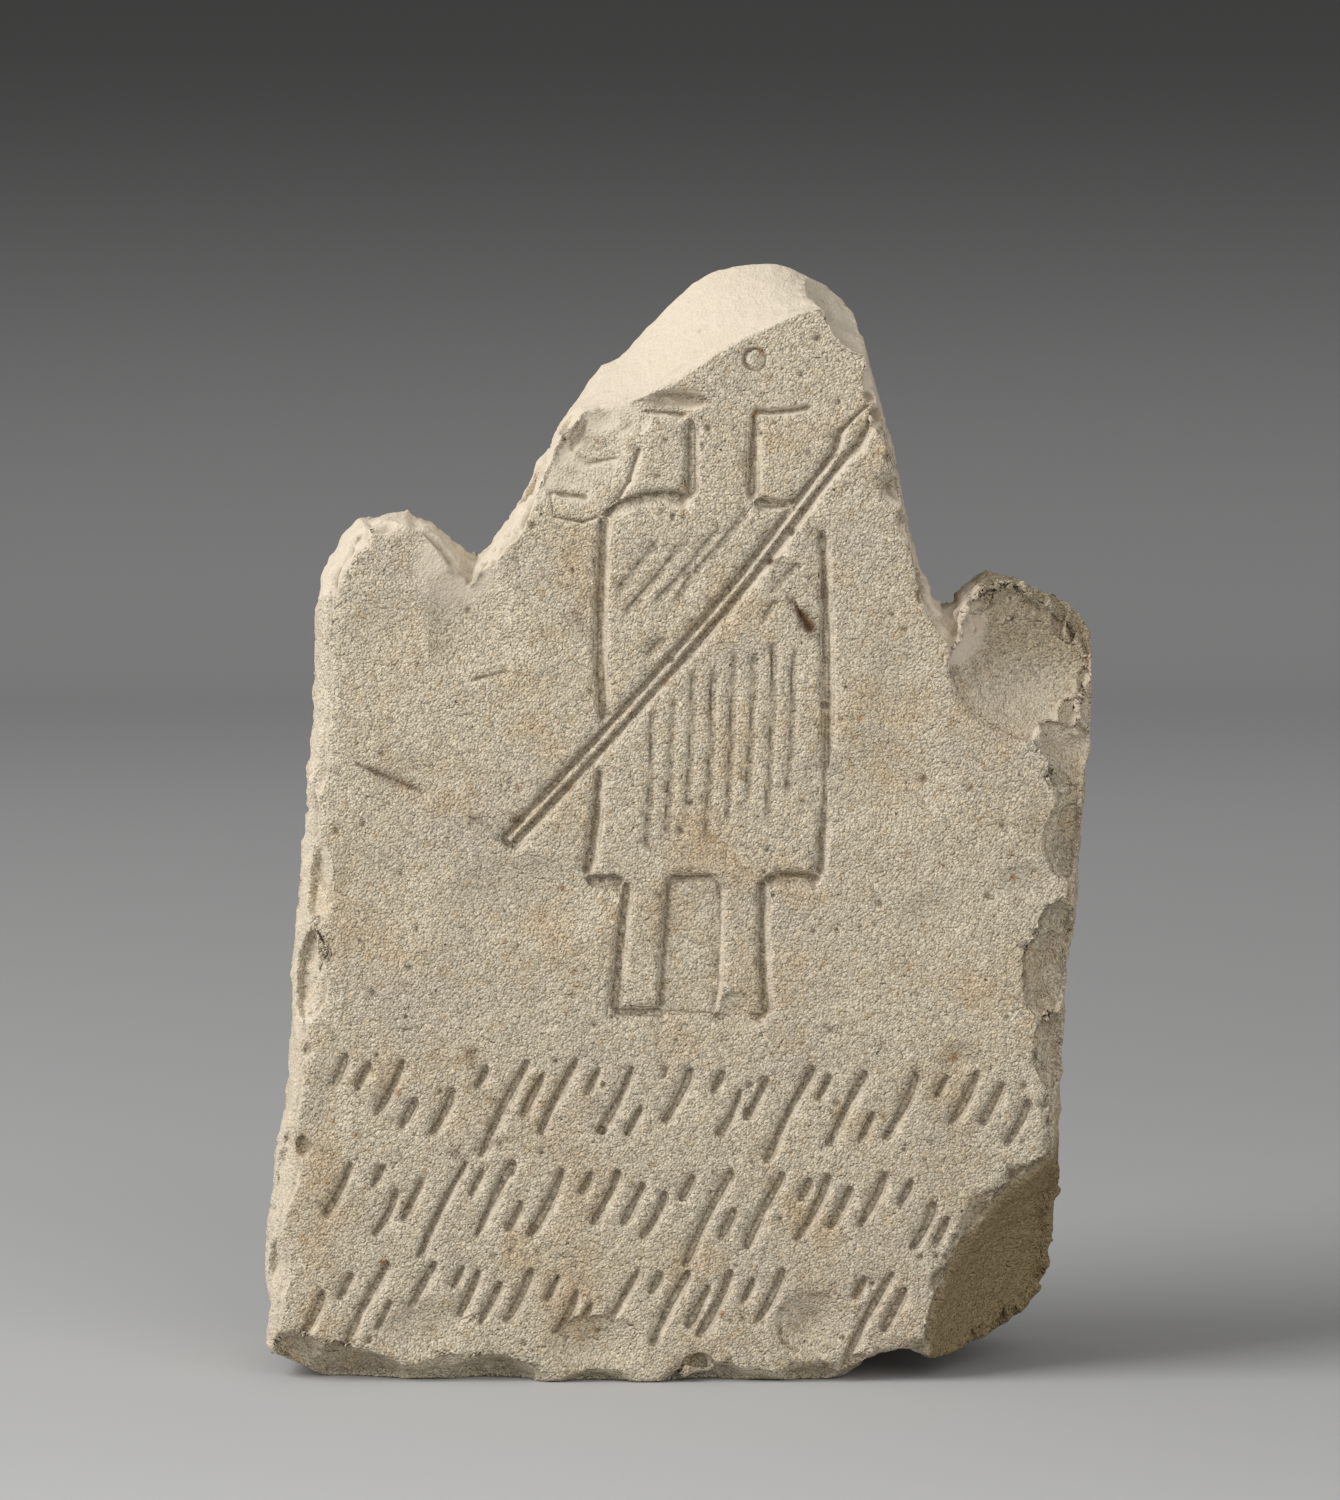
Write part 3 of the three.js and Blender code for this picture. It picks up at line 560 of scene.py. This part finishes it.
limestoneLook = {
    "ground": "#cec2aa",
    "roughness": 0.93,
    "specular": 0.25,
    "noises": {  # name: size of the largest feature in mm, detail, roughness
        "patch": (36.0, 4.0, 0.6),
        "drift": (19.0, 4.0, 0.62),
        "blotch": (7.0, 4.0, 0.68),
        "grain": (0.62, 1.0, 0.5),  # real grit is 0.2 to 0.5 mm; drawn coarser so that it shows
        "fleck": (2.0, 2.0, 0.65),
        "ochre": (3.4, 3.0, 0.7),
    },
    "tints": [  # noise or mark, from, to, share at full, colour
        ("patch", 0.47, 0.66, 0.4, "#bcb1a0"),
        ("drift", 0.5, 0.7, 0.55, "#c5a77d"),
        ("blotch", 0.53, 0.72, 0.45, "#dbd0b9"),
        ("fleck", 0.56, 0.68, 0.45, "#9d8f74"),
        ("ochre", 0.55, 0.72, 0.5, "#bf9f70"),
        # the lost corner's browner tone, and painted shade on the horn break's upper part
        ("brownAndShade", 0.0, 1.0, 1.0, "#94815e"),
        # paler fresh breaks, and painted light on the horn break's lower part and on the left arris
        ("paleAndLit", 0.0, 1.0, 0.85, "#d3c6b2"),
        # painted shade in the cuts and hollows
        ("hollowShade", 0.0, 1.0, 0.62, "#6b5b42"),
        ("stain", 0.0, 1.0, 0.9, "#5d3f22"),
    ],
    "grainShade": (0.3, 0.7, 0.71, 1.26),  # noise from and to, darkest and lightest grain
    "freshGrain": (0.93, 1.04),  # the same two shades on a fresh break
    "pitMm": 6.2,  # from pit to pit
    "pitEdge": (0.02, 0.075),  # where a pit starts to fade and where it ends, in widths of a cell
    "pitShare": (0.8, 0.15),  # how dark it is on weathered and on fresh stone
    "pitColour": "#5f5138",
    "rustMm": 13.0,
    "rustEdge": (0.02, 0.1),
    "rustShare": 0.75,
    "rustColour": "#9a6a3a",
    # heights of the bumps are metres
    "gritMm": 0.62,
    "gritHeight": 0.00056,
    "pitDepth": 0.0005,
    "pitStrength": 0.8,
    "lumpHeight": 0.0012,
    "freshCalm": 0.3,  # strength of the grit and lumps on a fresh break
    "freshFrom": (0.3, 0.9),  # the pale mark works on the grain between these
}


def limestone():
    # grey-beige limestone, chisel-dressed and long weathered: quite matt, gritty as coarse sandpaper,
    # patchy in hue, with paler and smoother fresh breaks
    look = limestoneLook
    material = bpy.data.materials.new("weatheredLimestone")
    material.use_nodes = True
    tree = material.node_tree
    shader = tree.nodes["Principled BSDF"]
    place = addNode(tree, "TexCoord", output="Object")
    field = {}
    for name, (size, detail, rough) in look["noises"].items():
        inputs = {"Vector": place, "Scale": perMm(size), "Detail": detail, "Roughness": rough}
        field[name] = addNode(tree, "TexNoise", inputs)
    for name in ("paleAndLit", "brownAndShade", "stain", "hollowShade"):
        field[name] = addNode(tree, "Attribute", output="Fac", attribute_name=name)
    base = colour(look["ground"])
    for name, low, high, most, tint in look["tints"]:
        share = addNode(tree, "MapRange", {0: field[name], 1: low, 2: high, 3: 0.0, 4: most})
        base = addNode(tree, "Mix", {0: share, 6: base, 7: colour(tint)}, 2, data_type="RGBA")
    low, high, dark, light = look["grainShade"]
    freshLow, freshHigh = look["freshFrom"]
    byFreshness = {0: field["paleAndLit"], 1: freshLow, 2: freshHigh}
    freshDark, freshLight = look["freshGrain"]
    darkest = addNode(tree, "MapRange", {**byFreshness, 3: dark, 4: freshDark})
    lightest = addNode(tree, "MapRange", {**byFreshness, 3: light, 4: freshLight})
    shade = addNode(tree, "MapRange", {0: field["grain"], 1: low, 2: high, 3: darkest, 4: lightest})
    grey = addNode(tree, "CombineColor", {0: shade, 1: shade, 2: shade})
    base = addNode(tree, "Mix", {0: 1.0, 6: base, 7: grey}, 2, data_type="RGBA", blend_type="MULTIPLY")

    # small open pits, and rarer rusty specks, where a cell's middle lies at the surface
    pits = addNode(tree, "TexVoronoi", {"Vector": place, "Scale": perMm(look["pitMm"])})
    old, new = look["pitShare"]
    pitted = addNode(tree, "MapRange", {0: field["paleAndLit"], 1: 0.0, 2: 0.6, 3: old, 4: new})
    low, high = look["pitEdge"]
    pit = addNode(tree, "MapRange", {0: pits, 1: low, 2: high, 3: pitted, 4: 0.0})
    base = addNode(tree, "Mix", {0: pit, 6: base, 7: colour(look["pitColour"])}, 2, data_type="RGBA")
    specks = addNode(tree, "TexVoronoi", {"Vector": place, "Scale": perMm(look["rustMm"])})
    low, high = look["rustEdge"]
    speck = addNode(tree, "MapRange", {0: specks, 1: low, 2: high, 3: look["rustShare"], 4: 0.0})
    base = addNode(tree, "Mix", {0: speck, 6: base, 7: colour(look["rustColour"])}, 2, data_type="RGBA")
    tree.links.new(base, shader.inputs["Base Color"])
    shader.inputs["Roughness"].default_value = look["roughness"]
    shader.inputs["Specular IOR Level"].default_value = look["specular"]

    grit = addNode(tree, "TexVoronoi", {"Vector": place, "Scale": perMm(look["gritMm"])})
    calm = addNode(tree, "MapRange", {**byFreshness, 3: 1.0, 4: look["freshCalm"]})
    relief = [
        (field["fleck"], calm, look["lumpHeight"], False),
        (grit, calm, look["gritHeight"], True),
        (pit, look["pitStrength"], look["pitDepth"], True),
    ]
    normal = addNode(tree, "NewGeometry", output="Normal")
    for height, strength, deep, inwards in relief:
        inputs = {"Height": height, "Strength": strength, "Distance": deep, "Normal": normal}
        normal = addNode(tree, "Bump", inputs, invert=inwards)
    tree.links.new(normal, shader.inputs["Normal"])
    return material


stele.data.materials.clear()
stele.data.materials.append(limestone())
for polygon in stele.data.polygons:
    polygon.use_smooth = True
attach(stele, "root")
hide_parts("stele")
print("limestone laid on")

studio = {
    "halfWidth": 4.0,
    "front": -3.0,
    "back": 2.6,  # where the floor starts to curve up
    "curve": 1.2,
    "curveSteps": 12,
    "top": 4.0,
    # painted light and shade on the floor and sweep: the front is brightest, and the tints below darken or
    # lighten it further back and up
    "paperLitFront": "#dcdcdb",
    "paperLightAndShade": [  # 0 away from the camera or 1 up, from, to in metres, colour
        (0, -0.7, -0.05, "#b8b8b7"), (0, 0.4, 1.9, "#d2d2d1"), (1, -0.12, 0.52, "#5b5b5a"),
    ],
    "paperRoughness": 0.9,
    "lampsAim": (0, 0, 0.13),
    "keyWatts": 29.5,
    "keySize": 1.15,
    "keyAt": (-1.24, -0.6, 1.08),
    "fillWatts": 16.0,
    "fillSize": 1.6,
    "fillAt": (1.0, -1.9, 1.0),
    "roomColour": "#e9e9ea",
    "roomStrength": 0.38,
}


def makeStage():
    sweep = bmesh.new()
    depth, half = studio["curve"], studio["halfWidth"]
    start = [sweep.verts.new((-half, studio["front"], 0)), sweep.verts.new((half, studio["front"], 0))]
    line = [sweep.edges.new(start)]
    stops = [(0, studio["back"] - studio["front"], 0)]
    steps = studio["curveSteps"]
    angles = [math.pi / 2 * i / steps for i in range(steps + 1)]
    turn = [(math.sin(a), 1 - math.cos(a)) for a in angles]
    stops += [(0, (b[0] - a[0]) * depth, (b[1] - a[1]) * depth) for a, b in zip(turn, turn[1:])]
    stops.append((0, 0, studio["top"] - depth))
    for stop in stops:
        out = bmesh.ops.extrude_edge_only(sweep, edges=line)["geom"]
        bmesh.ops.translate(sweep, verts=[v for v in out if isinstance(v, bmesh.types.BMVert)], vec=stop)
        line = [e for e in out if isinstance(e, bmesh.types.BMEdge)][:1]
    bmesh.ops.recalc_face_normals(sweep, faces=sweep.faces)
    mesh = bpy.data.meshes.new("studioSweep")
    sweep.to_mesh(mesh)
    sweep.free()
    for polygon in mesh.polygons:
        polygon.use_smooth = True
    floor = bpy.data.objects.new("studioSweep", mesh)
    bpy.context.scene.collection.objects.link(floor)
    mesh.materials.append(studioPaper())


def studioPaper():
    # seamless background paper, matt, with painted light and shade in its colour: bright in front, darker
    # around the stone, lighter again further back, and darker higher up, where the lamps don't reach
    material = bpy.data.materials.new("studioPaper")
    material.use_nodes = True
    tree = material.node_tree
    shader = tree.nodes["Principled BSDF"]
    place = addNode(tree, "TexCoord", output="Object")
    away = addNode(tree, "SeparateXYZ", {0: place}, "Y")
    up = addNode(tree, "SeparateXYZ", {0: place}, "Z")
    paper = colour(studio["paperLitFront"])
    for along, low, high, tint in studio["paperLightAndShade"]:
        share = {0: (away, up)[along], 1: low, 2: high, 3: 0.0, 4: 1.0}
        share = addNode(tree, "MapRange", share, interpolation_type="SMOOTHSTEP")
        paper = addNode(tree, "Mix", {0: share, 6: paper, 7: colour(tint)}, 2, data_type="RGBA")
    tree.links.new(paper, shader.inputs["Base Color"])
    shader.inputs["Roughness"].default_value = studio["paperRoughness"]
    return material


def areaLight(name, place, size, watts):
    data = bpy.data.lights.new(name, "AREA")
    data.size = size
    data.energy = watts
    light = bpy.data.objects.new(name, data)
    light.location = place
    toStele = Vector(studio["lampsAim"]) - Vector(place)
    light.rotation_euler = toStele.to_track_quat("-Z", "Y").to_euler()
    light.visible_camera = False
    bpy.context.scene.collection.objects.link(light)


makeStage()
areaLight("keyLight", studio["keyAt"], studio["keySize"], studio["keyWatts"])
areaLight("fillLight", studio["fillAt"], studio["fillSize"], studio["fillWatts"])
world = bpy.data.worlds.new("softRoom")
world.use_nodes = True
backdrop = world.node_tree.nodes["Background"]
backdrop.inputs["Color"].default_value = colour(studio["roomColour"])
backdrop.inputs["Strength"].default_value = studio["roomStrength"]
bpy.context.scene.world = world
bpy.context.scene.view_settings.view_transform = "Standard"
print("stage and lights set")
